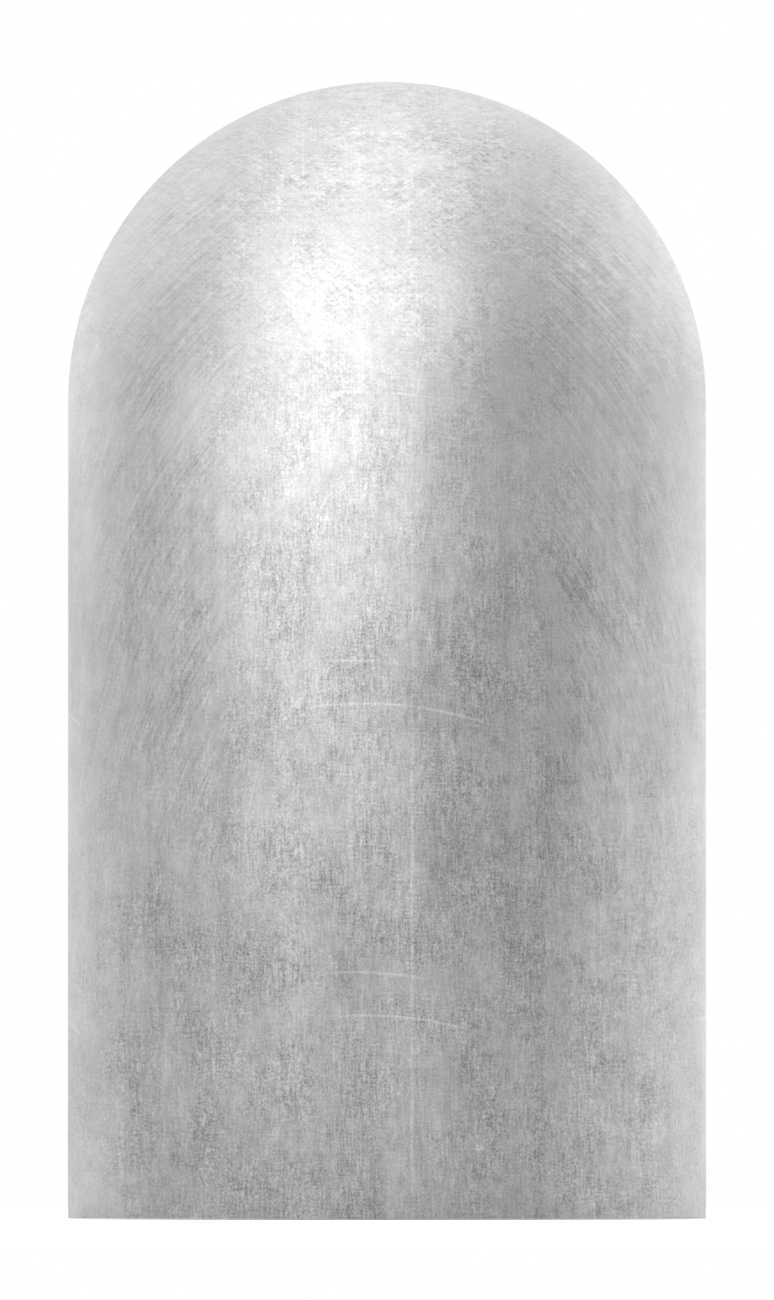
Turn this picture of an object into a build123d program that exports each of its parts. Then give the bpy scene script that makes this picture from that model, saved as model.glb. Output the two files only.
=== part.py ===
"""Steel safety bollard: a stainless skin standing over a bolted-down steel post.

Millimetres. +Z is up, the front is towards -Y, and the origin is on the ground at the middle of the bollard.

The post is a base plate on a rubber gasket, with a core tube, four gussets and a cap welded to it.
The cover is a tube and a hemispherical dome welded into one smooth skin. It drops over the post: a foot ring
inside its lower edge passes round the base plate, and a plastic disc inside it slides down the core tube.
Three grub screws in the foot ring then press on the rim of the base plate.
"""

import os
from math import cos, radians, sin, sqrt

from build123d import *

# ---------------------------------------------------------------- driving dimensions

# The skin
cover_diameter = 273.0  # outside
cover_wall = 3.0
straight_height = 350.0  # from the ground to where the dome starts to curve
dome_skirt = 15.0  # straight edge that the pressed dome has below its curve
rim_chamfer = 0.4  # broken edge at the foot of the skin

# The strip behind the weld between tube and dome
seam_strip_width = 30.0
seam_strip_thickness = 2.0

# The ring inside the foot of the skin
foot_ring_thickness = 8.5
foot_ring_lift = 2.0  # above the ground
foot_ring_lead_in = 2.0
foot_clearance = 1.0  # between this ring and the base plate, all round

# The grub screws, in threads through the foot ring and the skin
grub_screw_diameter = 10.0
grub_screw_length = 10.0
grub_screw_socket = 5.0  # across flats, and as deep
grub_screw_point = 1.5  # chamfer at its inner end
grub_screw_gap = 0.1  # between its point and the base plate's rim
grub_screw_angles = {"right": 0, "back": 90, "left": 180}

# The gasket and the base plate
gasket_thickness = 3.0
plate_thickness = 20.0
plate_chamfer = 2.0
drain_diameter = 80.0  # hole under the core tube, for zinc to drain when it is galvanised
anchor_hole_diameter = 22.0  # for M20
anchor_count = 4

# The core tube, its cap and the gussets
core_diameter = 139.7
core_wall = 8.0
core_headroom = 34.0  # between the edge of the cap and the dome above it
cap_thickness = 10.0
cap_chamfer = 5.0
vent_diameter = 20.0
gusset_thickness = 8.0
gusset_height = 90.0
gusset_rim_margin = 6.0  # from a gusset's toe to the edge of the plate
gusset_land = 10.0  # blunt ends of a gusset
gusset_notch = 12.0  # corner cut away over the weld round the core

# The plug in the cap's vent
plug_flange_diameter = 27.0
plug_flange_thickness = 3.0
plug_depth = 9.0
plug_wall = 2.5

# The guide: a flange welded inside the skin, with a plastic disc screwed under it
guide_drop = 6.0  # from the seam strip down to the flange
guide_flange_width = 29.5
guide_flange_thickness = 6.0
disc_thickness = 15.0
disc_lead_in = 3.0
disc_rim_clearance = 1.5  # so that the disc goes in past the foot ring
core_clearance = 1.0  # between the disc and the core tube, all round
air_hole_diameter = 14.0  # through flange and disc, so that the cover drops and lifts without trapping air
air_hole_count = 8

# The screws that hold the disc
disc_screw_diameter = 8.0
disc_screw_length = 25.0
disc_screw_head_across_flats = 13.0
disc_screw_head_height = 5.3
disc_screw_head_chamfer = 0.6
disc_screw_hole_clearance = 0.5
washer_diameter = 16.0
washer_thickness = 1.6
washer_clearance = 0.2
disc_screw_count = 4

thread_clearance = 0.05  # between a screw and its tapped hole, each side
plug_clearance = 0.05
small_chamfer = 0.5

# ---------------------------------------------------------------- worked-out dimensions

cover_radius = cover_diameter / 2
cover_bore = cover_radius - cover_wall
seam_height = straight_height - dome_skirt

plate_bottom = gasket_thickness
plate_top = plate_bottom + plate_thickness
screw_height = plate_bottom + plate_thickness / 2
foot_ring_bore = cover_bore - foot_ring_thickness
foot_ring_height = 2 * (screw_height - foot_ring_lift)
plate_radius = foot_ring_bore - foot_clearance

core_radius = core_diameter / 2
core_bore = core_radius - core_wall
dome_over_core = straight_height + sqrt(cover_bore**2 - core_radius**2)
cap_top = dome_over_core - core_headroom
core_top = cap_top - cap_thickness
anchor_circle_diameter = round(core_radius + plate_radius)

seam_strip_bottom = straight_height - seam_strip_width
guide_flange_top = seam_strip_bottom - guide_drop
guide_flange_bottom = guide_flange_top - guide_flange_thickness
guide_flange_bore = cover_bore - guide_flange_width
disc_radius = foot_ring_bore - disc_rim_clearance
disc_bore = core_radius + core_clearance
disc_bottom = guide_flange_bottom - disc_thickness
guide_hole_circle = (guide_flange_bore + disc_radius) / 2

grub_screw_hole = grub_screw_diameter / 2 + thread_clearance
grub_screw_start = plate_radius + grub_screw_gap


def radial_plane(angle, radius, height):
    """A plane facing straight out from the bollard's axis."""
    outward = (cos(radians(angle)), sin(radians(angle)), 0)
    return Plane(origin=(radius * outward[0], radius * outward[1], height), z_dir=outward)


def write(builder, name):
    """Labels a finished piece and writes its STEP file."""
    builder.part.label = name
    export_step(builder.part, f"parts/{name}.step")


os.makedirs("parts", exist_ok=True)

# ---------------------------------------------------------------- the skin

# What the three screw holes take out of the foot ring and the skin.
with BuildPart() as screw_holes:
    for angle in grub_screw_angles.values():
        with BuildSketch(radial_plane(angle, plate_radius, screw_height)):
            Circle(grub_screw_hole)
        extrude(amount=cover_radius)

with BuildPart() as cover_tube:
    with BuildSketch():
        Circle(cover_radius)
        Circle(cover_bore, mode=Mode.SUBTRACT)
    extrude(amount=seam_height)
    chamfer(cover_tube.edges().group_by(Axis.Z)[0], length=rim_chamfer)
    add(screw_holes.part, mode=Mode.SUBTRACT)
write(cover_tube, "cover_tube")

# The dome's section is two quarter arcs about one centre, with the short straight skirt below them.
with BuildPart() as dome_cap:
    with BuildSketch(Plane.XZ):
        with BuildLine():
            outside = CenterArc((0, straight_height), cover_radius, 0, 90)
            inside = CenterArc((0, straight_height), cover_bore, 0, 90)
            Line(outside @ 1, inside @ 1)
            Polyline(outside @ 0, (cover_radius, seam_height), (cover_bore, seam_height), inside @ 0)
        make_face()
    revolve(axis=Axis.Z)
write(dome_cap, "dome_cap")

with BuildPart() as seam_strip:
    with BuildSketch(Plane.XY.offset(seam_strip_bottom)):
        Circle(cover_bore)
        Circle(cover_bore - seam_strip_thickness, mode=Mode.SUBTRACT)
    extrude(amount=seam_strip_width)
write(seam_strip, "seam_strip")

with BuildPart() as foot_ring:
    with BuildSketch(Plane.XY.offset(foot_ring_lift)):
        Circle(cover_bore)
        Circle(foot_ring_bore, mode=Mode.SUBTRACT)
    extrude(amount=foot_ring_height)
    lower_edges = foot_ring.edges().group_by(Axis.Z)[0]
    chamfer(lower_edges.sort_by(SortBy.RADIUS)[0], length=foot_ring_lead_in)
    add(screw_holes.part, mode=Mode.SUBTRACT)
write(foot_ring, "foot_ring")

for side, angle in grub_screw_angles.items():
    with BuildPart() as grub_screw:
        with BuildSketch(radial_plane(angle, grub_screw_start, screw_height)):
            Circle(grub_screw_diameter / 2)
        extrude(amount=grub_screw_length)
        outward_axis = Axis((0, 0, screw_height), (cos(radians(angle)), sin(radians(angle)), 0))
        end_edges = grub_screw.edges().filter_by(GeomType.CIRCLE).sort_by(outward_axis)
        chamfer(end_edges[0], length=grub_screw_point)
        chamfer(end_edges[-1], length=small_chamfer)
        with BuildSketch(radial_plane(angle, grub_screw_start + grub_screw_length, screw_height)):
            RegularPolygon(grub_screw_socket / 2, 6, major_radius=False)
        extrude(amount=-grub_screw_socket, mode=Mode.SUBTRACT)
    write(grub_screw, f"grub_screw_{side}")

# ---------------------------------------------------------------- the guide inside the skin

with BuildPart() as guide_flange:
    with BuildSketch(Plane.XY.offset(guide_flange_bottom)):
        Circle(cover_bore)
        Circle(guide_flange_bore, mode=Mode.SUBTRACT)
        with PolarLocations(guide_hole_circle, disc_screw_count, start_angle=45):
            Circle(disc_screw_diameter / 2 + thread_clearance, mode=Mode.SUBTRACT)
        with PolarLocations(guide_hole_circle, air_hole_count, start_angle=180 / air_hole_count):
            Circle(air_hole_diameter / 2, mode=Mode.SUBTRACT)
    extrude(amount=guide_flange_thickness)
write(guide_flange, "guide_flange")

with BuildPart() as guide_disc:
    with BuildSketch(Plane.XY.offset(disc_bottom)):
        Circle(disc_radius)
        Circle(disc_bore, mode=Mode.SUBTRACT)
        with PolarLocations(guide_hole_circle, disc_screw_count, start_angle=45):
            Circle(disc_screw_diameter / 2 + disc_screw_hole_clearance, mode=Mode.SUBTRACT)
        with PolarLocations(guide_hole_circle, air_hole_count, start_angle=180 / air_hole_count):
            Circle(air_hole_diameter / 2, mode=Mode.SUBTRACT)
    extrude(amount=disc_thickness)
    lower_rings = guide_disc.edges().group_by(Axis.Z)[0].filter_by(
        lambda edge: edge.arc_center.X**2 + edge.arc_center.Y**2 < 1
    )
    chamfer(lower_rings.sort_by(SortBy.RADIUS)[0], length=disc_lead_in)
    chamfer(lower_rings.sort_by(SortBy.RADIUS)[-1], length=small_chamfer)
write(guide_disc, "guide_disc")

screw_places = PolarLocations(guide_hole_circle, disc_screw_count, start_angle=45).locations
for number, place in enumerate(screw_places, start=1):
    x, y = place.position.X, place.position.Y
    washer_top = Plane(origin=(x, y, disc_bottom))
    head_top = washer_top.offset(-washer_thickness)

    with BuildPart() as disc_washer:
        with BuildSketch(washer_top):
            Circle(washer_diameter / 2)
            Circle(disc_screw_diameter / 2 + washer_clearance, mode=Mode.SUBTRACT)
        extrude(amount=-washer_thickness)
    write(disc_washer, f"disc_washer_{number}")

    with BuildPart() as disc_screw:
        with BuildSketch(head_top):
            RegularPolygon(disc_screw_head_across_flats / 2, 6, major_radius=False)
        extrude(amount=-disc_screw_head_height)
        chamfer(disc_screw.edges().group_by(Axis.Z)[0], length=disc_screw_head_chamfer)
        with BuildSketch(head_top):
            Circle(disc_screw_diameter / 2)
        extrude(amount=disc_screw_length)
        chamfer(disc_screw.edges().group_by(Axis.Z)[-1], length=small_chamfer)
    write(disc_screw, f"disc_screw_{number}")

# ---------------------------------------------------------------- the post

with BuildPart() as floor_gasket:
    with BuildSketch():
        Circle(plate_radius)
        Circle(drain_diameter / 2, mode=Mode.SUBTRACT)
        with PolarLocations(anchor_circle_diameter / 2, anchor_count, start_angle=45):
            Circle(anchor_hole_diameter / 2, mode=Mode.SUBTRACT)
    extrude(amount=gasket_thickness)
write(floor_gasket, "floor_gasket")

with BuildPart() as base_plate:
    with BuildSketch(Plane.XY.offset(plate_bottom)):
        Circle(plate_radius)
    extrude(amount=plate_thickness)
    chamfer(base_plate.edges().group_by(Axis.Z)[-1], length=plate_chamfer)
    with BuildSketch(Plane.XY.offset(plate_bottom)):
        Circle(drain_diameter / 2)
        with PolarLocations(anchor_circle_diameter / 2, anchor_count, start_angle=45):
            Circle(anchor_hole_diameter / 2)
    extrude(amount=plate_thickness, mode=Mode.SUBTRACT)
write(base_plate, "base_plate")

with BuildPart() as core_tube:
    with BuildSketch(Plane.XY.offset(plate_top)):
        Circle(core_radius)
        Circle(core_bore, mode=Mode.SUBTRACT)
    extrude(amount=core_top - plate_top)
write(core_tube, "core_tube")

with BuildPart() as core_cap:
    with BuildSketch(Plane.XY.offset(core_top)):
        Circle(core_radius)
    extrude(amount=cap_thickness)
    chamfer(core_cap.edges().group_by(Axis.Z)[-1], length=cap_chamfer)
    with BuildSketch(Plane.XY.offset(core_top)):
        Circle(vent_diameter / 2)
    extrude(amount=cap_thickness, mode=Mode.SUBTRACT)
write(core_cap, "core_cap")

with BuildPart() as vent_plug:
    with BuildSketch(Plane.XY.offset(cap_top)):
        Circle(plug_flange_diameter / 2)
    extrude(amount=plug_flange_thickness)
    chamfer(vent_plug.edges().group_by(Axis.Z)[-1], length=plug_flange_thickness / 2)
    with BuildSketch(Plane.XY.offset(cap_top)):
        Circle(vent_diameter / 2 - plug_clearance)
        Circle(vent_diameter / 2 - plug_clearance - plug_wall, mode=Mode.SUBTRACT)
    extrude(amount=-plug_depth)
write(vent_plug, "vent_plug")

# A gusset's section, with X outwards from the core and Y up, each measured from the corner that it sits in.
gusset_reach = plate_radius - core_radius - gusset_rim_margin
for number in range(4):
    outward = (cos(radians(90 * number)), sin(radians(90 * number)), 0)
    corner = (core_radius * outward[0], core_radius * outward[1], plate_top)
    across = Vector(outward).cross(Vector(0, 0, 1))
    with BuildPart() as gusset:
        with BuildSketch(Plane(origin=corner, x_dir=outward, z_dir=across)):
            Polygon(
                (gusset_notch, 0),
                (gusset_reach, 0),
                (gusset_reach, gusset_land),
                (gusset_land, gusset_height),
                (0, gusset_height),
                (0, gusset_notch),
                align=None,
            )
        extrude(amount=gusset_thickness / 2, both=True)
    write(gusset, f"gusset_{number + 1}")
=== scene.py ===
import math

import bmesh
import bpy
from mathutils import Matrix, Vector


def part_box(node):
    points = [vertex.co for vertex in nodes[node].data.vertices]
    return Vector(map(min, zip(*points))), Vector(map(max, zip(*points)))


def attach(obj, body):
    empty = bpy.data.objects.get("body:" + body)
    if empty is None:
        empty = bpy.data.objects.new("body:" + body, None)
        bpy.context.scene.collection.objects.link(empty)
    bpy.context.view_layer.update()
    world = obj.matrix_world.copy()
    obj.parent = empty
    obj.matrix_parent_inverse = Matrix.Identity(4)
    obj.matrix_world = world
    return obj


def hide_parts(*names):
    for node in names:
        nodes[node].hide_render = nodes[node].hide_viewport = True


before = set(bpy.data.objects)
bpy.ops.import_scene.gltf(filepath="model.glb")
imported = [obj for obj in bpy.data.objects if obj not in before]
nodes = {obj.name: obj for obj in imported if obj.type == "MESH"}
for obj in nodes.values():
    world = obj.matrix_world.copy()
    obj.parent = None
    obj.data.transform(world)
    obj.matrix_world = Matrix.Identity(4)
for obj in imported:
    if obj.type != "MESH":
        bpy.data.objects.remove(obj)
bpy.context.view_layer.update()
scene = bpy.context.scene
mm = 0.001
print("frame loaded with", len(nodes), "CAD nodes")

# sizes read from the CAD boxes, in metres
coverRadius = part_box("cover_tube")[1].x
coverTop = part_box("dome_cap")[1].z
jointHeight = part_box("dome_cap")[0].z
domeStart = coverTop - coverRadius  # where the wall starts to curve
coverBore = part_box("foot_ring")[1].x
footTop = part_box("foot_ring")[1].z
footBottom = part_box("foot_ring")[0].z
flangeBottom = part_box("guide_flange")[0].z
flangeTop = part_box("guide_flange")[1].z
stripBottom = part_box("seam_strip")[0].z
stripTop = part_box("seam_strip")[1].z
stripRadius = coverBore - 2 * mm
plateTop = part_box("base_plate")[1].z
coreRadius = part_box("core_tube")[1].x
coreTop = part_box("core_tube")[1].z
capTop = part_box("core_cap")[1].z

camera = {
    "lens": 600,  # long, because the object is seen with almost no perspective
    "frameHeight": 0.5563,  # what the picture takes in at the object, in metres
    "height": 0.015,  # low, level with the foot
    "aim": 0.24325,
}
sensor = 36  # mm wide
cameraData = bpy.data.cameras.new("camera")
cameraData.lens = camera["lens"]
cameraData.sensor_width = sensor
cameraData.clip_end = 100
cameraObject = bpy.data.objects.new("camera", cameraData)
scene.collection.objects.link(cameraObject)
cameraAway = camera["frameHeight"] * camera["lens"] / sensor
cameraObject.location = (0, -cameraAway, camera["height"])
sight = Vector((0, 0, camera["aim"])) - cameraObject.location
cameraObject.rotation_euler = sight.to_track_quat("-Z", "Y").to_euler()
scene.camera = cameraObject
scene.view_settings.view_transform = "Standard"
print("camera placed")


def srgb(code):
    # hex colour to linear
    parts = [int(code[i:i + 2], 16) / 255 for i in (1, 3, 5)]
    return [p / 12.92 if p <= 0.04045 else ((p + 0.055) / 1.055) ** 2.4 for p in parts] + [1.0]


def addNode(tree, kind, inputs=None, **settings):
    # one node with its settings; an input takes a value, a node or one of a node's outputs
    node = tree.nodes.new("ShaderNode" + kind)
    for name, value in settings.items():
        setattr(node, name, value)
    for key, value in (inputs or {}).items():
        socket = node.inputs[key] if isinstance(key, int) else next(
            s for s in node.inputs if s.name == key and s.enabled)
        if isinstance(value, bpy.types.Node):
            value = next(out for out in value.outputs if out.enabled)
        if isinstance(value, bpy.types.NodeSocket):
            tree.links.new(value, socket)
        else:
            socket.default_value = value
    return node


def newFinish(name):
    # an empty material and its node tree
    finish = bpy.data.materials.new(name)
    finish.use_nodes = True
    finish.node_tree.nodes.clear()
    return finish, finish.node_tree


def place(tree):
    # the point on the part in millimetres, and its x, y and z
    at = addNode(tree, "VectorMath", {"Vector": addNode(tree, "TexCoord").outputs["Object"], "Scale": 1000},
                 operation="SCALE")
    xyz = addNode(tree, "SeparateXYZ", {"Vector": at})
    return at, xyz.outputs["X"], xyz.outputs["Y"], xyz.outputs["Z"]


def grain(tree, at, size, octaves=2):
    # soft random pattern whose features have this size in mm along the three axes
    scaled = addNode(tree, "VectorMath", {0: at, 1: [1 / s for s in size]}, operation="MULTIPLY")
    return addNode(tree, "TexNoise", {"Vector": scaled, "Scale": 1, "Detail": octaves}).outputs[0]


def ramp(tree, value, low, high, start=0.0, end=1.0):
    # smooth step from low to high
    return addNode(tree, "MapRange", {"Value": value, "From Min": low, "From Max": high,
                                      "To Min": start, "To Max": end}, interpolation_type="SMOOTHSTEP")


def putOn(finish, *names):
    # gives carried-over CAD nodes this finish
    for name in names:
        slots = nodes[name].data.materials
        slots.clear()
        slots.append(finish)


weldHeat = {
    # colours the heat of welding leaves on stainless, by distance from the bead in mm
    "colours": [(0.0, "#8E939B"), (3.5, "#8F8AA0"), (6.0, "#B08E66"), (9.5, "#C6B68C"), (15.0, "#BEBDBA")],
    "uneven": 4,  # how far the bands wander, in mm
    # heights of the welds on the cover, in mm
    "lines": [height / mm for height in (footBottom, footTop, flangeBottom, flangeTop, jointHeight)],
}


def heatTint(tree, x, y, z):
    # colour of bare stainless near the welds inside the cover
    flat = addNode(tree, "VectorMath", {0: addNode(tree, "CombineXYZ", {"X": x, "Y": y})}, operation="LENGTH")
    inward = addNode(tree, "Math", {0: coverBore / mm, 1: flat.outputs["Value"]}, operation="SUBTRACT")
    nearest = 99.0
    for height in weldHeat["lines"]:
        rise = addNode(tree, "Math", {0: z, 1: height}, operation="SUBTRACT")
        gap = addNode(tree, "VectorMath", {0: addNode(tree, "CombineXYZ", {"X": inward, "Y": rise})},
                      operation="LENGTH")
        nearest = addNode(tree, "Math", {0: gap.outputs["Value"], 1: nearest}, operation="MINIMUM")
    point = addNode(tree, "CombineXYZ", {"X": x, "Y": y, "Z": z})
    uneven = weldHeat["uneven"]
    nearest = addNode(tree, "Math", {0: grain(tree, point, (18, 18, 8), 2), 1: uneven, 2: nearest},
                      operation="MULTIPLY_ADD")
    reach = weldHeat["colours"][-1][0]
    nearest = addNode(tree, "Math", {0: nearest, 1: uneven / 2}, operation="SUBTRACT")
    part = addNode(tree, "Math", {0: nearest, 1: reach}, operation="DIVIDE", use_clamp=True)
    bands = addNode(tree, "ValToRGB", {"Fac": part})
    stops = bands.color_ramp.elements
    for index, (distance, code) in enumerate(weldHeat["colours"]):
        if 0 < index < len(weldHeat["colours"]) - 1:
            stop = stops.new(distance / reach)
        else:
            stop = stops[-1 if index else 0]
        stop.color = srgb(code)
    return bands.outputs["Color"]


# 304 stainless, brushed upright, then rubbed and scratched in use. It gives the eye a satin grey with
# streaks a few mm long, cloudy darker patches and sweeps of a sanding pad on both sides.
brushedStainless = {
    "colour": "#BCBCBC",
    "roughness": 0.6,
    "bump": 0.06,
    # where the grain turns from front to side: how ragged, and where (1 is the very side)
    "ragged": 0.5,
    "quarter": 0.9,
    # size across, through and along in mm, octaves, strength; real grit lines are under 0.1 mm apart,
    # so they are drawn about 1 mm wide
    "fine": [((1.0, 60, 6.5), 2, 0.52), ((0.75, 9.0, 0.95), 1, 0.66), ((6.0, 60, 0.9), 1, 0.24)],
    "cloudy": [((6.0, 40, 7.5), 2, 0.28), ((3.5, 60, 60), 2, 0.16), ((9, 60, 150), 2, 0.20),
               ((30, 60, 45), 3, 0.34)],
    # darker patches, where the fine marks are deeper too
    "patch": (20, 60, 24),
    "patchDepth": (1.35, 0.7),
    "patchDark": 0.22,
    # single marks: size in mm, brightness
    "hairline": ((0.8, 60, 150), 0.14),
    "scratch": ((0.8, 40, 45), 0.13),
    "leans": (0.12, -0.22, 0.9),  # radians off the upright
    # fades below are from, to in mm, then the share at each
    "footWear": (60, 430, 1.35, 1),  # the lower wall is knocked about more than the dome
    "sideWear": (60, 170, 1, 0.62),  # and all marks are drawn fainter away from the front
    "domeEven": (290, 410, 1, 0.5),  # the dome is less cloudy
    "lineFade": (230, 330, 1, 0.3),  # and the arcs and the rub line are fainter on it
    "sweepCentre": (270, -5),  # of the pad's arcs, mm round the skin and mm up, mirrored on the other side
    "sweeps": [((1.1, 60, 24), 0.5), ((5, 60, 60), 0.14)],
    "sweepArm": 450,  # their arcs' usual radius, mm
    "sweepSides": (45, 95, 150, 215),  # where they show, mm round the skin: from, full, full, to
    "sweepHeights": (110, 210, 420, 500),
    "sweepCalm": -0.3,  # how much of the upright grain they rub out
    "swirls": ((1.0, 60, 7), 0.38),  # the dome was finished by hand, in several directions
    "swirlLeans": (0.75, -0.9, 1.45),
    "byHand": (280, 400),  # mm up the skin
    # painted shade, not a mark in the metal: a darker tone right of the front that stands in for the edge of
    # a reflection, which a surface this rough can't show
    "paintedShadeStrip": (6, 26, 66, 96, -0.07),
    "paintedShadeTop": (340, 270),
    "paintedShadeFoot": (40, 150, 0.2, 1),
    "tile": (214.4, 131.5),  # the arcs and the rub line repeat: a quarter round and 131 mm up
    "arcRadius": 180,
    # height and place of each arc's top, middle and half length of the part that shows, brightness
    "arcs": [(85.8, -10.7, 6, 42, 0.20), (104.0, -14, -3, 25, 0.15)],
    "arcEdge": (0.9, 0.15),  # mm from their middle to nothing and to full
    # an upright rub line: mm from each tile's middle, its edge as above, brightness
    "ruleLine": (10.6, 1.1, 0.2, 0.13),
    "gaps": (14, 14, 30),  # arcs and line are broken where the surface dips
    "inside": ((25, 25, 14), 0.3, -0.25),  # mill finish inside: clouds in mm, contrast, shade
    "shine": -0.12,  # brighter marks are a little smoother
}


def brushedFinish(look):
    finish, tree = newFinish("stainless 304 brushed and scuffed")
    at, x, y, z = place(tree)
    radius = coverRadius / mm
    bend = domeStart / mm
    # height measured along the skin: up the wall, then over the dome's curve
    onDome = addNode(tree, "Math", {0: z, 1: bend}, operation="SUBTRACT")
    onDome = addNode(tree, "Math", {0: onDome, 1: radius}, operation="DIVIDE", use_clamp=True)
    onDome = addNode(tree, "Math", {0: onDome}, operation="ARCSINE")
    wall = addNode(tree, "Math", {0: z, 1: bend}, operation="MINIMUM")
    up = addNode(tree, "Math", {0: onDome, 1: radius, 2: wall}, operation="MULTIPLY_ADD")
    # distance round the skin from the front
    back = addNode(tree, "Math", {0: y, 1: -1}, operation="MULTIPLY")
    turn = addNode(tree, "Math", {0: x, 1: back}, operation="ARCTAN2")
    around = addNode(tree, "Math", {0: turn, 1: radius}, operation="MULTIPLY")

    # the grain runs upright in front, and is turned a quarter on the sides, with a ragged border
    wide = addNode(tree, "Math", {0: x}, operation="ABSOLUTE")
    deep = addNode(tree, "Math", {0: y}, operation="ABSOLUTE")
    both = addNode(tree, "Math", {0: wide, 1: deep}, operation="ADD")
    share = addNode(tree, "Math", {0: wide, 1: both}, operation="DIVIDE")
    ragged = addNode(tree, "Math", {0: grain(tree, at, (2, 2, 2), 1), 1: look["ragged"], 2: share},
                     operation="MULTIPLY_ADD")
    onSide = addNode(tree, "Math", {0: ragged, 1: look["quarter"]}, operation="GREATER_THAN")
    front = addNode(tree, "CombineXYZ", {"X": x, "Y": y, "Z": up})
    side = addNode(tree, "CombineXYZ", {"X": y, "Y": x, "Z": up})
    cut = addNode(tree, "Mix", {"Factor": onSide, "A": front, "B": side}, data_type="VECTOR")

    # where the sheet looks darker the fine marks are deeper
    patches = grain(tree, front, look["patch"], 3)
    depth = ramp(tree, patches, 0.36, 0.66, *look["patchDepth"])
    total = -0.5 * sum(strength for size, octaves, strength in look["fine"])
    for size, octaves, strength in look["fine"]:
        total = addNode(tree, "Math", {0: grain(tree, cut, size, octaves), 1: strength, 2: total},
                        operation="MULTIPLY_ADD")
    # on the dome the marks of a hand finish take over from half of the grain
    byHand = ramp(tree, up, *look["byHand"])
    fewer = addNode(tree, "Math", {0: byHand, 1: -0.5, 2: 1}, operation="MULTIPLY_ADD")
    total = addNode(tree, "Math", {0: total, 1: fewer}, operation="MULTIPLY")
    size, strength = look["swirls"]
    swirl = -0.5 * strength * len(look["swirlLeans"])
    for lean in look["swirlLeans"]:
        leaning = addNode(tree, "VectorRotate", {"Vector": front, "Angle": lean}, rotation_type="Y_AXIS")
        swirl = addNode(tree, "Math", {0: grain(tree, leaning, size, 2), 1: strength, 2: swirl},
                        operation="MULTIPLY_ADD")
    fine = addNode(tree, "Math", {0: swirl, 1: byHand, 2: total}, operation="MULTIPLY_ADD")

    # arcs left by the sanding pad on both sides
    rising = addNode(tree, "Math", {0: around}, operation="ABSOLUTE")
    armX = addNode(tree, "Math", {0: rising, 1: look["sweepCentre"][0]}, operation="ADD")
    armZ = addNode(tree, "Math", {0: up, 1: look["sweepCentre"][1]}, operation="SUBTRACT")
    arm = addNode(tree, "CombineXYZ", {"X": armX, "Y": armZ})
    arm = addNode(tree, "VectorMath", {0: arm}, operation="LENGTH")
    swing = addNode(tree, "Math", {0: armZ, 1: armX}, operation="ARCTAN2")
    along = addNode(tree, "Math", {0: swing, 1: look["sweepArm"]}, operation="MULTIPLY")
    sweepAt = addNode(tree, "CombineXYZ", {"X": arm.outputs["Value"], "Y": x, "Z": along})
    sweep = -0.5 * sum(strength for size, strength in look["sweeps"])
    for size, strength in look["sweeps"]:
        sweep = addNode(tree, "Math", {0: grain(tree, sweepAt, size, 2), 1: strength, 2: sweep},
                        operation="MULTIPLY_ADD")
    areas = []
    for far, (first, full, last, end) in ((rising, look["sweepSides"]), (up, look["sweepHeights"])):
        areas.append(addNode(tree, "Math", {0: ramp(tree, far, first, full), 1: ramp(tree, far, end, last)},
                             operation="MULTIPLY"))
    sweepArea = addNode(tree, "Math", dict(enumerate(areas)), operation="MULTIPLY")
    # inside the sweeps they take over from the upright grain
    calm = addNode(tree, "Math", {0: sweepArea, 1: look["sweepCalm"], 2: 1}, operation="MULTIPLY_ADD")
    fine = addNode(tree, "Math", {0: fine, 1: calm}, operation="MULTIPLY")
    fine = addNode(tree, "Math", {0: sweep, 1: sweepArea, 2: fine}, operation="MULTIPLY_ADD")
    fine = addNode(tree, "Math", {0: fine, 1: depth}, operation="MULTIPLY")

    # uneven tone of the rolled sheet, and a strip of painted shade in place of a reflection's edge
    dark = look["patchDark"]
    cloud = addNode(tree, "Math", {0: patches, 1: dark, 2: -dark / 2}, operation="MULTIPLY_ADD")
    for size, octaves, strength in look["cloudy"]:
        part = addNode(tree, "Math", {0: grain(tree, front, size, octaves), 1: 0.5}, operation="SUBTRACT")
        cloud = addNode(tree, "Math", {0: part, 1: strength, 2: cloud}, operation="MULTIPLY_ADD")
    even = ramp(tree, up, *look["domeEven"])
    tone = addNode(tree, "Math", {0: cloud, 1: even, 2: fine}, operation="MULTIPLY_ADD")
    first, full, last, end, strength = look["paintedShadeStrip"]
    strip = addNode(tree, "Math", {0: ramp(tree, around, first, full), 1: ramp(tree, around, end, last)},
                    operation="MULTIPLY")
    for fade in (look["paintedShadeTop"], look["paintedShadeFoot"]):
        strip = addNode(tree, "Math", {0: strip, 1: ramp(tree, up, *fade)}, operation="MULTIPLY")
    tone = addNode(tree, "Math", {0: strip, 1: strength, 2: tone}, operation="MULTIPLY_ADD")

    # long upright hairlines and shorter leaning ones, where the noise peaks
    size, strength = look["hairline"]
    line = ramp(tree, grain(tree, cut, size, 1), 0.68, 0.8, 0, strength)
    tone = addNode(tree, "Math", {0: tone, 1: line}, operation="ADD")
    for lean in look["leans"]:
        size, strength = look["scratch"]
        leaning = addNode(tree, "VectorRotate", {"Vector": cut, "Angle": lean}, rotation_type="Y_AXIS")
        line = ramp(tree, grain(tree, leaning, size, 1), 0.7, 0.82, 0, strength)
        tone = addNode(tree, "Math", {0: tone, 1: line}, operation="ADD")

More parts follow.
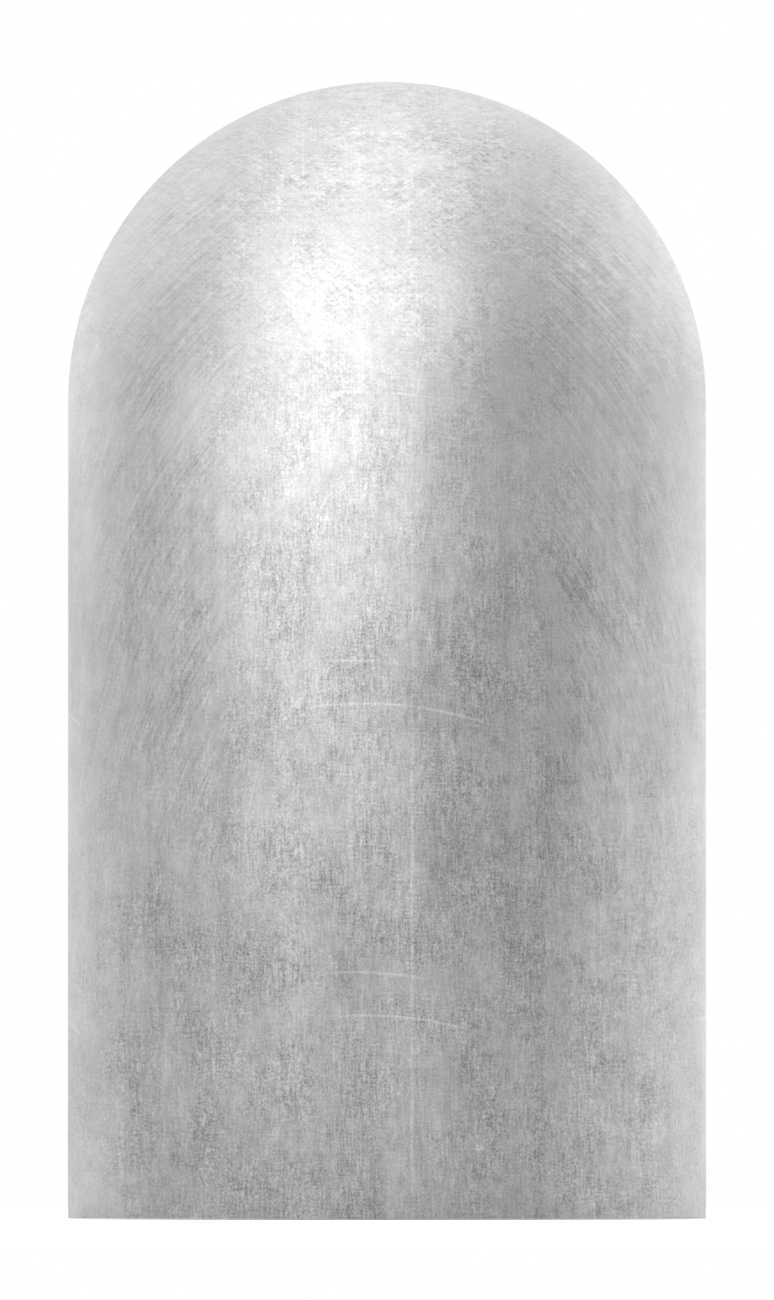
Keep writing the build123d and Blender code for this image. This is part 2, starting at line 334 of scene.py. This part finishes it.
    # thin arcs and one straight line, repeated over the skin
    tileWide, tileHigh = look["tile"]
    u = addNode(tree, "Math", {0: around, 1: tileWide / 2, 2: -tileWide / 2}, operation="WRAP")
    broken = ramp(tree, grain(tree, at, look["gaps"], 2), 0.34, 0.52, 0.25)
    broken = addNode(tree, "Math", {0: broken, 1: ramp(tree, up, *look["lineFade"])}, operation="MULTIPLY")
    for top, apex, middle, half, strength in look["arcs"]:
        v = addNode(tree, "Math", {0: up, 1: top}, operation="SUBTRACT")
        v = addNode(tree, "Math", {0: v, 1: tileHigh / 2, 2: -tileHigh / 2}, operation="WRAP")
        v = addNode(tree, "Math", {0: v, 1: look["arcRadius"]}, operation="ADD")
        fromApex = addNode(tree, "Math", {0: u, 1: apex}, operation="SUBTRACT")
        spoke = addNode(tree, "CombineXYZ", {"X": fromApex, "Y": v})
        reach = addNode(tree, "VectorMath", {0: spoke}, operation="LENGTH")
        off = addNode(tree, "Math", {0: reach.outputs["Value"], 1: look["arcRadius"]}, operation="SUBTRACT")
        off = addNode(tree, "Math", {0: off}, operation="ABSOLUTE")
        line = ramp(tree, off, *look["arcEdge"], 0, strength)
        fromMiddle = addNode(tree, "Math", {0: u, 1: middle}, operation="SUBTRACT")
        fromMiddle = addNode(tree, "Math", {0: fromMiddle}, operation="ABSOLUTE")
        ends = ramp(tree, fromMiddle, half, half * 0.6)
        line = addNode(tree, "Math", {0: line, 1: ends}, operation="MULTIPLY")
        tone = addNode(tree, "Math", {0: line, 1: broken, 2: tone}, operation="MULTIPLY_ADD")
    side, edge, core, strength = look["ruleLine"]
    off = addNode(tree, "Math", {0: u, 1: side}, operation="SUBTRACT")
    off = addNode(tree, "Math", {0: off}, operation="ABSOLUTE")
    line = ramp(tree, off, edge, core, 0, strength)
    tone = addNode(tree, "Math", {0: line, 1: broken, 2: tone}, operation="MULTIPLY_ADD")

    wear = addNode(tree, "Math", {0: ramp(tree, up, *look["footWear"]),
                                  1: ramp(tree, rising, *look["sideWear"])}, operation="MULTIPLY")
    tone = addNode(tree, "Math", {0: tone, 1: wear}, operation="MULTIPLY")
    # inside, the sheet keeps its plain mill finish and shows the heat of the welds
    level = addNode(tree, "Math", {0: z, 1: bend}, operation="SUBTRACT")
    level = addNode(tree, "Math", {0: level, 1: 0}, operation="MAXIMUM")
    fromAxis = addNode(tree, "CombineXYZ", {"X": x, "Y": y, "Z": level})
    fromAxis = addNode(tree, "VectorMath", {0: fromAxis}, operation="LENGTH").outputs["Value"]
    outer = addNode(tree, "Math", {0: fromAxis, 1: (radius + coverBore / mm) / 2}, operation="GREATER_THAN")
    size, contrast, shade = look["inside"]
    clouds = grain(tree, at, size, 3)
    clouds = addNode(tree, "Math", {0: clouds, 1: contrast, 2: shade}, operation="MULTIPLY_ADD")
    tone = addNode(tree, "Mix", {"Factor": outer, "A": clouds, "B": tone}, data_type="FLOAT")
    bare = addNode(tree, "Mix", {"Factor": outer, "A": heatTint(tree, x, y, z), "B": srgb(look["colour"])},
                   data_type="RGBA")
    bright = addNode(tree, "Math", {0: tone, 1: 1}, operation="ADD")
    colour = addNode(tree, "VectorMath", {"Vector": bare, "Scale": bright}, operation="SCALE")
    rough = addNode(tree, "Math", {0: tone, 1: look["shine"], 2: look["roughness"]}, operation="MULTIPLY_ADD")
    fine = addNode(tree, "Math", {0: fine, 1: outer}, operation="MULTIPLY")
    bump = addNode(tree, "Bump", {"Height": fine, "Strength": look["bump"], "Distance": 0.0004})
    shader = addNode(tree, "BsdfPrincipled", {"Base Color": colour, "Metallic": 1.0, "Roughness": rough,
                                              "Normal": bump})
    addNode(tree, "OutputMaterial", {"Surface": shader})
    return finish


coverFinish = brushedFinish(brushedStainless)
putOn(coverFinish, "cover_tube", "dome_cap")
print("cover finished")

# 304 plate with its cold-rolled mill finish: dull, cloudy grey with faint rolling lines and heat tint
millStainless = {"roughness": 0.42, "lines": (0.9, 40, 0.9), "clouds": (25, 25, 12)}


def millFinish(look):
    finish, tree = newFinish("stainless 304 plate, mill finish with weld tint")
    at, x, y, z = place(tree)
    lines = grain(tree, at, look["lines"], 2)
    clouds = grain(tree, at, look["clouds"], 3)
    tone = addNode(tree, "Math", {0: lines, 1: 0.22, 2: 0.76}, operation="MULTIPLY_ADD")
    tone = addNode(tree, "Math", {0: clouds, 1: 0.26, 2: tone}, operation="MULTIPLY_ADD")
    tint = heatTint(tree, x, y, z)
    colour = addNode(tree, "VectorMath", {"Vector": tint, "Scale": tone}, operation="SCALE")
    rough = ramp(tree, clouds, 0.3, 0.7, look["roughness"] - 0.06, look["roughness"] + 0.08)
    bump = addNode(tree, "Bump", {"Height": lines, "Strength": 0.05, "Distance": 0.0003})
    shader = addNode(tree, "BsdfPrincipled", {"Base Color": colour, "Metallic": 1.0, "Roughness": rough,
                                              "Normal": bump})
    addNode(tree, "OutputMaterial", {"Surface": shader})
    return finish


# hot-dip zinc: dull blue-grey, in feathery crystals about 9 mm across, with chalky patches
galvanised = {"dark": "#8D9295", "light": "#B6BBBD", "roughness": 0.5, "crystal": 9, "needle": (0.9, 7, 7),
              "chalk": "#C9CCCC"}


def galvanisedFinish(look):
    finish, tree = newFinish("steel, hot-dip galvanised")
    at, x, y, z = place(tree)
    feather = addNode(tree, "TexNoise", {"Vector": at, "Scale": 0.35, "Detail": 3})
    feather = addNode(tree, "VectorMath", {0: feather.outputs["Color"], "Scale": 5.0}, operation="SCALE")
    warped = addNode(tree, "VectorMath", {0: at, 1: feather}, operation="ADD")
    cells = addNode(tree, "TexVoronoi", {"Vector": warped, "Scale": 1 / look["crystal"]})
    shade = addNode(tree, "SeparateColor", {"Color": cells.outputs["Color"]})
    # each crystal's needles lie their own way
    way = addNode(tree, "VectorMath", {0: cells.outputs["Color"], "Scale": 2 * math.pi}, operation="SCALE")
    turned = addNode(tree, "VectorRotate", {"Vector": at, "Rotation": way}, rotation_type="EULER_XYZ")
    needles = ramp(tree, grain(tree, turned, look["needle"], 2), 0.25, 0.75)
    tone = addNode(tree, "Math", {0: shade.outputs[0], 1: 0.5}, operation="MULTIPLY")
    tone = addNode(tree, "Math", {0: needles, 1: 0.5, 2: tone}, operation="MULTIPLY_ADD")
    zinc = addNode(tree, "Mix", {"Factor": tone, "A": srgb(look["dark"]), "B": srgb(look["light"])},
                   data_type="RGBA")
    chalky = ramp(tree, grain(tree, at, (38, 38, 55), 4), 0.55, 0.72, 0, 0.55)
    colour = addNode(tree, "Mix", {"Factor": chalky, "A": zinc, "B": srgb(look["chalk"])}, data_type="RGBA")
    rough = addNode(tree, "Math", {0: shade.outputs[1], 1: 0.2, 2: look["roughness"] - 0.1},
                    operation="MULTIPLY_ADD")
    rough = addNode(tree, "Math", {0: chalky, 1: 0.3, 2: rough}, operation="MULTIPLY_ADD")
    bump = addNode(tree, "Bump", {"Height": grain(tree, at, (3, 3, 3), 3), "Strength": 0.12,
                                  "Distance": 0.0006})
    shader = addNode(tree, "BsdfPrincipled", {"Base Color": colour, "Metallic": 1.0, "Roughness": rough,
                                              "Normal": bump})
    addNode(tree, "OutputMaterial", {"Surface": shader})
    return finish


# A2 stainless, cold headed with rolled threads: bright and smooth, a little duller in the roots
brightScrew = {"colour": "#CBCAC6", "roughness": 0.26}
# weld metal as laid: silver ripples with straw and grey bands
weldMetal = {"dark": "#9B958A", "light": "#C9C5BA", "roughness": 0.33}
# EPDM rubber, moulded sheet: soft black with a little grey dust
rubber = {"dark": "#161719", "light": "#3A3B3C", "roughness": 0.82}
# HDPE, turned on a lathe: black with fine rings, greyer where it rubs
turnedPlastic = {"dark": "#141517", "light": "#34363A", "roughness": 0.42, "ring": 0.9}
# LDPE plug, injection moulded: black, finely textured, slightly soft shine
mouldedPlug = {"dark": "#17181A", "light": "#2A2B2D", "roughness": 0.5}


def screwFinish(look):
    finish, tree = newFinish("stainless A2, cold headed")
    at, x, y, z = place(tree)
    worn = grain(tree, at, (1.5, 1.5, 1.5), 3)
    bright = ramp(tree, worn, 0.3, 0.7, 0.9, 1.06)
    colour = addNode(tree, "VectorMath", {"Vector": srgb(look["colour"])[:3], "Scale": bright},
                     operation="SCALE")
    rough = ramp(tree, worn, 0.3, 0.7, look["roughness"] + 0.08, look["roughness"] - 0.04)
    bump = addNode(tree, "Bump", {"Height": grain(tree, at, (0.5, 0.5, 0.5), 1), "Strength": 0.05,
                                  "Distance": 0.0001})
    shader = addNode(tree, "BsdfPrincipled", {"Base Color": colour, "Metallic": 1.0, "Roughness": rough,
                                              "Normal": bump})
    addNode(tree, "OutputMaterial", {"Surface": shader})
    return finish


def weldFinish(look):
    finish, tree = newFinish("stainless weld metal, as laid")
    at, x, y, z = place(tree)
    bands = grain(tree, at, (7, 7, 4), 2)
    colour = addNode(tree, "Mix", {"Factor": ramp(tree, bands, 0.35, 0.65), "A": srgb(look["dark"]),
                                   "B": srgb(look["light"])}, data_type="RGBA")
    rough = ramp(tree, grain(tree, at, (1.5, 1.5, 1.5), 2), 0.3, 0.7, look["roughness"] - 0.06,
                 look["roughness"] + 0.1)
    shader = addNode(tree, "BsdfPrincipled", {"Base Color": colour, "Metallic": 1.0, "Roughness": rough})
    addNode(tree, "OutputMaterial", {"Surface": shader})
    return finish


def darkFinish(name, look, marks, relief, gloss):
    # black rubber or plastic: marks picks where it is greyer, relief is the fine surface
    finish, tree = newFinish(name)
    at, x, y, z = place(tree)
    if "ring" in look:
        flat = addNode(tree, "CombineXYZ", {"X": x, "Y": y})
        flat = addNode(tree, "VectorMath", {0: flat}, operation="LENGTH").outputs["Value"]
        at = addNode(tree, "CombineXYZ", {"X": flat, "Z": z})
        relief = (look["ring"], 1, look["ring"])  # turned at 0.3 mm a turn, drawn three times as coarse
    grey = ramp(tree, grain(tree, at, marks, 3), 0.45, 0.75)
    fine = grain(tree, at, relief, 1)
    grey = addNode(tree, "Math", {0: fine, 1: 0.35, 2: grey}, operation="MULTIPLY_ADD", use_clamp=True)
    colour = addNode(tree, "Mix", {"Factor": grey, "A": srgb(look["dark"]), "B": srgb(look["light"])},
                     data_type="RGBA")
    rough = addNode(tree, "Math", {0: grey, 1: 0.14, 2: look["roughness"]}, operation="MULTIPLY_ADD")
    bump = addNode(tree, "Bump", {"Height": fine, "Strength": gloss, "Distance": 0.0003})
    shader = addNode(tree, "BsdfPrincipled", {"Base Color": colour, "Roughness": rough, "Normal": bump})
    addNode(tree, "OutputMaterial", {"Surface": shader})
    return finish


mill = millFinish(millStainless)
zinc = galvanisedFinish(galvanised)
screwMetal = screwFinish(brightScrew)
weld = weldFinish(weldMetal)
epdm = darkFinish("EPDM rubber sheet", rubber, (30, 30, 6), (0.8, 0.8, 0.8), 0.2)
hdpe = darkFinish("HDPE, turned", turnedPlastic, (6, 1, 3), None, 0.25)
plugPlastic = darkFinish("LDPE, moulded", mouldedPlug, (5, 5, 5), (0.5, 0.5, 0.5), 0.2)
putOn(mill, "seam_strip", "foot_ring", "guide_flange")
putOn(zinc, "base_plate", "core_tube", "core_cap", "gusset_1", "gusset_2", "gusset_3", "gusset_4")
putOn(epdm, "floor_gasket")
putOn(hdpe, "guide_disc")
putOn(screwMetal, "disc_washer_1", "disc_washer_2", "disc_washer_3", "disc_washer_4")
print("finishes under the cover made")


def addPiece(name, vertices, faces, finish, body, slot, *stands):
    # a solid mesh that rides on a body and may stand for CAD nodes
    mesh = bpy.data.meshes.new(name)
    mesh.from_pydata(vertices, [], faces)
    mesh.materials.append(finish)
    shape = bmesh.new()
    shape.from_mesh(mesh)
    bmesh.ops.recalc_face_normals(shape, faces=shape.faces)
    for face in shape.faces:
        face.smooth = True
    for edge in shape.edges:
        if len(edge.link_faces) == 2 and edge.calc_face_angle() > math.radians(38):
            edge.smooth = False
    shape.to_mesh(mesh)
    shape.free()
    piece = bpy.data.objects.new(name, mesh)
    scene.collection.objects.link(piece)
    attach(piece, body)
    if stands:
        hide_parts(*stands)
    return piece


def skinRings(rings, closed):
    # vertices and faces of a surface through rings of equal count; closed joins the last ring to the first
    count = len(rings[0])
    vertices = [point for ring in rings for point in ring]
    faces = []
    for i in range(len(rings) if closed else len(rings) - 1):
        j = (i + 1) % len(rings)
        for k in range(count):
            m = (k + 1) % count
            faces.append((i * count + k, i * count + m, j * count + m, j * count + k))
    if not closed:
        faces.append(tuple(reversed(range(count))))
        faces.append(tuple(range((len(rings) - 1) * count, len(rings) * count)))
    return vertices, faces


def joinParts(parts):
    # several vertex and face lists as one
    vertices, faces = [], []
    for partVertices, partFaces in parts:
        start = len(vertices)
        vertices += partVertices
        faces += [tuple(start + k for k in face) for face in partFaces]
    return vertices, faces


# TIG beads: rows of ripples, each trailing the torch
beads = {
    "ripple": 0.07,  # how much each ripple swells the bead
    "lag": 2.4,  # how far the middle of a ripple trails its toes, radians
    "root": 0.15 * mm,  # how deep the bead is let into the plates
    "profilePoints": 6,
    "rippleSteps": 4,
}


def filletProfile(leg):
    # points across a fillet weld in a corner, a little convex; the last lies in the corner
    points = []
    for k in range(beads["profilePoints"]):
        t = k / (beads["profilePoints"] - 1) * math.pi / 2
        points.append((leg * math.cos(t) ** 1.45, leg * math.sin(t) ** 1.45, math.sin(2 * t)))
    return points + [(0, 0, 0)]


def buttProfile(width, height):
    # points across a low ground weld on a flush joint; the last lies under it
    points = []
    for k in range(beads["profilePoints"]):
        t = k / (beads["profilePoints"] - 1) * math.pi
        points.append((height * math.sin(t), -width / 2 * math.cos(t), 0.4 * math.sin(t)))
    return points + [(-2 * height, 0, 0)]


def layBead(frames, profile, closed, seed):
    # frames: corner, way along one plate, way along the other; four frames to a ripple
    rings = []
    for i, (corner, out, up) in enumerate(frames):
        drift = 1 + 0.035 * math.sin(seed + 2 * math.pi * 7 * i / len(frames))
        drift += 0.025 * math.sin(2 * seed + 2 * math.pi * 19 * i / len(frames))
        ends = 1.0
        if not closed:
            fromEnd = min(i, len(frames) - 1 - i) / (1.5 * beads["rippleSteps"])
            ends = 0.5 + 0.5 * min(1.0, fromEnd) ** 0.5
        start = corner - (out + up) * beads["root"]
        ring = []
        for u, v, share in profile:
            phase = 2 * math.pi * i / beads["rippleSteps"] - beads["lag"] * share
            swell = (1 + beads["ripple"] * share * math.cos(phase)) * drift * ends
            ring.append(start + (out * u + up * v) * swell)
        rings.append(ring)
    return skinRings(rings, closed)


def ringFrames(radius, height, out, up, pitch):
    # frames right round the bollard's axis
    count = round(2 * math.pi * radius / pitch) * beads["rippleSteps"]
    frames = []
    for i in range(count):
        angle = 2 * math.pi * i / count
        spoke = Vector((math.cos(angle), math.sin(angle), 0))
        frames.append((spoke * radius + Vector((0, 0, height)), spoke * out, Vector((0, 0, up))))
    return frames


def lineFrames(start, end, out, up, pitch):
    # frames along a straight weld
    count = round((end - start).length / pitch) * beads["rippleSteps"]
    return [(start.lerp(end, i / count), out, up) for i in range(count + 1)]


coverWelds = {
    # name: radius, height, way out, way up, leg, ripple pitch, in mm
    "footWeldUpper": (coverBore / mm, footTop / mm, -1, 1, 4.0, 2.2),
    "footWeldLower": (coverBore / mm, footBottom / mm, -1, -1, 1.6, 1.8),
    "flangeWeldUpper": (coverBore / mm, flangeTop / mm, -1, 1, 3.6, 2.2),
    "flangeWeldLower": (coverBore / mm, flangeBottom / mm, -1, -1, 3.6, 2.2),
}
for seed, (name, (radius, height, out, up, leg, pitch)) in enumerate(coverWelds.items()):
    frames = ringFrames(radius * mm, height * mm, out, up, pitch * mm)
    parts = layBead(frames, filletProfile(leg * mm), True, seed)
    addPiece(name, *parts, weld, "cover", "mill_stainless")

# beads on the post, zinc coated with it, in mm
postWelds = {"coreLeg": 6.5, "corePitch": 2.6, "capWidth": 9, "capHeight": 0.3, "gussetLeg": 4.6,
             "gussetPitch": 2.4, "gussetNotch": 12, "wrap": 0.75}
frames = ringFrames(coreRadius, plateTop, 1, 1, postWelds["corePitch"] * mm)
addPiece("coreWeld", *layBead(frames, filletProfile(postWelds["coreLeg"] * mm), True, 5), zinc, "post",
         "galvanised_steel")
frames = ringFrames(coreRadius, coreTop, 1, 1, postWelds["corePitch"] * mm)
profile = buttProfile(postWelds["capWidth"] * mm, postWelds["capHeight"] * mm)
addPiece("capWeld", *layBead(frames, profile, True, 6), zinc, "post", "galvanised_steel")


def gussetWelds(number):
    # beads down both sides of a gusset, round its toe and over its top
    low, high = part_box(f"gusset_{number}")
    angle = math.radians(90 * (number - 1))
    spoke = Vector((math.cos(angle), math.sin(angle), 0))
    across = Vector((-spoke.y, spoke.x, 0))
    up = Vector((0, 0, 1))
    reach = max(abs(low.x), abs(high.x), abs(low.y), abs(high.y))
    halfThick = min(high.x - low.x, high.y - low.y) / 2
    touch = math.sqrt(coreRadius ** 2 - halfThick ** 2)
    notch = postWelds["gussetNotch"] * mm
    leg, pitch = postWelds["gussetLeg"] * mm, postWelds["gussetPitch"] * mm
    fillet = filletProfile(leg)
    fall = touch - math.sqrt(coreRadius ** 2 - (halfThick + leg) ** 2)
    parts = []
    for side in (-1, 1):
        away = across * side
        foot = away * halfThick + up * plateTop
        frames = lineFrames(spoke * (coreRadius + notch) + foot, spoke * reach + foot, away, up, pitch)
        parts.append(layBead(frames, fillet, False, number + side))
        wall = spoke * touch + away * halfThick
        slope = away - spoke * (fall / leg)
        frames = lineFrames(wall + up * (plateTop + notch), wall + up * high.z, slope, spoke, pitch)
        parts.append(layBead(frames, fillet, False, number + 2 * side))
    small = filletProfile(postWelds["wrap"] * leg)
    toe = spoke * reach + up * plateTop
    wide = across * (halfThick + 0.35 * leg)
    parts.append(layBead(lineFrames(toe - wide, toe + wide, spoke, up, pitch), small, False, 3))
    top = spoke * touch + up * high.z
    parts.append(layBead(lineFrames(top - wide, top + wide, up, spoke, pitch), small, False, 4))
    addPiece(f"gussetWelds{number}", *joinParts(parts), zinc, "post", "galvanised_steel")


for number in range(1, 5):
    gussetWelds(number)
print("weld beads laid")

# spot welds that hold the seam strip: how many in each row, share of its height, size in mm
spots = {"count": 30, "rows": (0.22, 0.78), "radius": 2.6, "height": 0.3, "points": 12,
         # rings from rim to middle: share of the radius, share of the height
         "dimple": ((1.0, -0.5), (1.0, 0.15), (0.82, 0.8), (0.5, 0.55), (0.2, 0.5))}


def spotWelds():
    parts = []
    for row, share in enumerate(spots["rows"]):
        height = stripBottom + (stripTop - stripBottom) * share
        for number in range(spots["count"]):
            angle = 2 * math.pi * (number + 0.5 * row) / spots["count"]
            inward = Vector((-math.cos(angle), -math.sin(angle), 0))
            aside = Vector((-math.sin(angle), math.cos(angle), 0))
            middle = -inward * stripRadius + Vector((0, 0, height))
            rings = []
            for size, lift in spots["dimple"]:
                ring = []
                for k in range(spots["points"]):
                    t = 2 * math.pi * k / spots["points"]
                    spread = aside * math.cos(t) + Vector((0, 0, math.sin(t)))
                    ring.append(middle + spread * (size * spots["radius"] * mm)
                                + inward * (lift * spots["height"] * mm))
                rings.append(ring)
            parts.append(skinRings(rings, False))
    addPiece("seamSpotWelds", *joinParts(parts), weld, "cover", "mill_stainless")


spotWelds()
print("seam strip spotted on")

# rolled threads: points round, rings to each turn
threads = {"segments": 36, "rowsPerTurn": 7}


def threadRadius(crest, pitch, height, angle):
    # radius of a rolled thread at this height and angle
    depth = 0.6 * pitch
    phase = (height / pitch - angle / (2 * math.pi)) % 1.0
    slope = (abs(2 * phase - 1) - 0.25) / 0.6
    return crest - depth + depth * min(1.0, max(0.0, slope))


def hexRadius(flats, angle):
    # distance to the side of a hexagon with this size across flats
    sixth = math.pi / 3
    return flats / 2 / math.cos((angle + sixth / 2) % sixth - sixth / 2)


def turnedPiece(rows, origin, axis, side):
    # rows of height and radius in mm, each a number or a rule of the angle, stood up along an axis
    third = axis.cross(side)
    rings = []
    for row in rows:
        ring = []
        for k in range(threads["segments"]):
            angle = 2 * math.pi * k / threads["segments"]
            height, radius = (rule(angle) if callable(rule) else rule for rule in row)
            spread = side * math.cos(angle) + third * math.sin(angle)
            ring.append(origin + axis * (height * mm) + spread * (radius * mm))
        rings.append(ring)
    return skinRings(rings, False)


def threadRows(crest, pitch, start, end, tipStart, tipEnd):
    # rows from start to end, with a chamfer of this size at each end of the thread
    count = round((end - start) / pitch * threads["rowsPerTurn"])
    rows = []
    for i in range(count + 1):
        height = start + (end - start) * i / count
        most = crest - max(0.0, tipStart - (height - start), tipEnd - (end - height))
        rows.append((height, lambda angle, height=height, most=most:
                     min(most, threadRadius(crest, pitch, height, angle))))
    return rows


# M8 hexagon screws, heads down under the guide disc, in mm
discScrew = {"flats": 13.0, "head": 5.3, "washerFace": 0.3, "faceRadius": 5.9, "shank": 4.0, "pitch": 1.25,
             "topCircle": 0.95, "chamfer": 30, "point": 1.1}


def discScrewPiece(number):
    low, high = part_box(f"disc_screw_{number}")
    flats, head, shank = discScrew["flats"], discScrew["head"], discScrew["shank"]
    topCircle = discScrew["topCircle"] * flats / 2
    slope = math.tan(math.radians(discScrew["chamfer"]))
    under = head - discScrew["washerFace"]
    rows = [
        (0.25, 0.5 * topCircle), (0.0, 0.62 * topCircle), (0.0, topCircle),
        (lambda a: (hexRadius(flats, a) - topCircle) * slope, lambda a: hexRadius(flats, a)),
        (under - 0.2, lambda a: hexRadius(flats, a)), (under, lambda a: hexRadius(flats, a) - 0.25),
        (under, discScrew["faceRadius"]), (head, discScrew["faceRadius"] - 0.1), (head, shank - 0.5),
    ]
    rows += threadRows(shank, discScrew["pitch"], head + 0.3, (high.z - low.z) / mm, 0.0, discScrew["point"])
    origin = Vector(((low.x + high.x) / 2, (low.y + high.y) / 2, low.z))
    side = Vector((origin.x, origin.y, 0)).normalized()
    parts = turnedPiece(rows, origin, Vector((0, 0, 1)), side)
    addPiece(f"discBolt{number}", *parts, screwMetal, "cover", "stainless_fasteners", f"disc_screw_{number}")


for number in range(1, 5):
    discScrewPiece(number)

# M10 grub screws with a cup point that bites the base plate's rim, in mm
grubScrew = {"crest": 5.0, "pitch": 1.5, "flats": 5.0, "socket": 5.0, "cup": 0.9, "point": 1.8, "rim": 0.5}


def grubScrewPiece(sideName, outward):
    low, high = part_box(f"grub_screw_{sideName}")
    length = abs((high - low).dot(outward)) / mm
    origin = (low + high) / 2 - outward * (length / 2 * mm)
    crest, flats, socket = grubScrew["crest"], grubScrew["flats"], grubScrew["socket"]
    rows = [(grubScrew["cup"], 0.4), (0.35, 2.0), (0.0, 2.7), (0.05, 3.1)]
    rows += threadRows(crest, grubScrew["pitch"], 0.1, length, grubScrew["point"], grubScrew["rim"])
    rows += [
        (length, 3.25),
        (length - 0.45, lambda a: hexRadius(flats, a)),
        (length - socket, lambda a: hexRadius(flats, a)),
        (length - socket - 0.25, 2.2), (length - socket - 0.9, 0.3),
    ]
    parts = turnedPiece(rows, origin, outward, Vector((0, 0, 1)))
    addPiece("grubScrew" + sideName.capitalize(), *parts, screwMetal, f"grub_screw_{sideName}",
             "stainless_fasteners", f"grub_screw_{sideName}")


for sideName, outward in (("right", (1, 0, 0)), ("back", (0, 1, 0)), ("left", (-1, 0, 0))):
    grubScrewPiece(sideName, Vector(outward))
print("screws threaded")

# LDPE plug pressed into the cap's vent
plug = {
    # radius and height over the cap, mm: dished head, rounded rim, ribbed stem, hollow below
    "outline": [(0.6, 2.5), (7.6, 2.45), (8.4, 2.7), (9.2, 3.0), (11.2, 3.0), (12.3, 2.75), (13.1, 2.15),
                (13.5, 1.3), (13.5, 0.35), (13.2, 0.0), (9.95, 0.0), (9.5, -0.8), (9.5, -2.0), (9.95, -3.1),
                (9.5, -3.7), (9.5, -5.2), (9.95, -6.3), (9.5, -6.9), (9.3, -8.4), (8.9, -9.0), (7.6, -9.0),
                (7.45, -8.6), (7.45, -1.2), (6.9, -0.7), (0.6, -0.7)],
}
parts = turnedPiece([(height, radius) for radius, height in plug["outline"]], Vector((0, 0, capTop)),
                    Vector((0, 0, 1)), Vector((1, 0, 0)))
addPiece("ventPlug", *parts, plugPlastic, "post", "plug_plastic", "vent_plug")
print("vent plug pressed in")

studio = {
    "floorColour": "#E7E7E7",
    "floorGlow": 0.3,  # the sweep is lit to white
    "floorSize": 8.0,
    # the rows of both lists weren't set by hand: a least-squares program picked them from a grid of
    # lights and solved their strengths, and the results were rounded
    # soft boxes far off: degrees round from the front, degrees up, brightness, tightness
    "boxes": [(-150, 5, 1.35, 14), (150, 5, 2.1, 14), (120, 5, 0.5, 14), (-120, 28, 2.05, 14),
              (90, 28, 1.2, 14), (120, 28, 1.85, 14), (180, 50, 2.1, 10), (-60, 50, 1.63, 10),
              (0, 50, 1.67, 10), (0, 90, 4.8, 30)],
    # small soft lamps near the object: degrees round, distance from the axis, height, watts
    "lamps": [(-45, 0.33, 0.36, 0.07), (-22, 0.33, 0.52, 0.212), (-12, 0.33, 0.36, 0.13),
              (10, 0.33, 0.52, 0.143), (-32, 0.50, 0.28, 0.145), (-2, 0.50, 0.36, 0.123),
              (-110, 0.33, 0.38, 0.04)],
    "lampSize": 0.1,
}


def bearing(around, up):
    # unit vector: degrees round from the front towards +X, degrees up
    a, e = math.radians(around), math.radians(up)
    return Vector((math.sin(a) * math.cos(e), -math.cos(a) * math.cos(e), math.sin(e)))


world = bpy.data.worlds.new("studio")
scene.world = world
world.use_nodes = True
sky = world.node_tree
sky.nodes.clear()
look = addNode(sky, "TexCoord").outputs["Generated"]
glow = 0.0
for around, up, strength, tight in studio["boxes"]:
    facing = addNode(sky, "VectorMath", {0: look, 1: bearing(around, up)}, operation="DOT_PRODUCT")
    facing = addNode(sky, "Math", {0: facing.outputs["Value"], 1: 0}, operation="MAXIMUM")
    facing = addNode(sky, "Math", {0: facing, 1: tight}, operation="POWER")
    glow = addNode(sky, "Math", {0: facing, 1: strength, 2: glow}, operation="MULTIPLY_ADD")
lit = addNode(sky, "Background", {"Color": (1, 1, 1, 1), "Strength": glow})
paper = addNode(sky, "Background", {"Color": (1, 1, 1, 1), "Strength": 1.0})  # the backdrop itself is white
seen = addNode(sky, "LightPath").outputs["Is Camera Ray"]
addNode(sky, "OutputWorld", {"Surface": addNode(sky, "MixShader", {0: seen, 1: lit, 2: paper})})

for around, away, height, watts in studio["lamps"]:
    lamp = bpy.data.lights.new("lamp", "AREA")
    lamp.shape = "DISK"
    lamp.size = studio["lampSize"]
    lamp.energy = watts
    lampObject = bpy.data.objects.new("lamp", lamp)
    scene.collection.objects.link(lampObject)
    lampObject.location = Vector((0, 0, height)) + bearing(around, 0) * away
    target = Vector((0, 0, 0.6 * height + 0.12))
    lampObject.rotation_euler = (target - lampObject.location).to_track_quat("-Z", "Y").to_euler()
    lampObject.visible_camera = False

floorFinish, tree = newFinish("studio floor, matt white card")
seen = addNode(tree, "LightPath").outputs["Is Camera Ray"]
glowing = addNode(tree, "Math", {0: seen, 1: studio["floorGlow"]}, operation="MULTIPLY")
shader = addNode(tree, "BsdfPrincipled", {"Base Color": srgb(studio["floorColour"]), "Roughness": 1.0,
                                          "Emission Color": (1, 1, 1, 1), "Emission Strength": glowing})
addNode(tree, "OutputMaterial", {"Surface": shader})
half = studio["floorSize"] / 2
floorMesh = bpy.data.meshes.new("floor")
corners = [(-half, -half, 0), (half, -half, 0), (half, half, 0), (-half, half, 0)]
floorMesh.from_pydata(corners, [], [(0, 1, 2, 3)])
floorMesh.materials.append(floorFinish)
floor = bpy.data.objects.new("floor", floorMesh)
scene.collection.objects.link(floor)
floor.location.z = -0.0005
print("floor and lights placed")
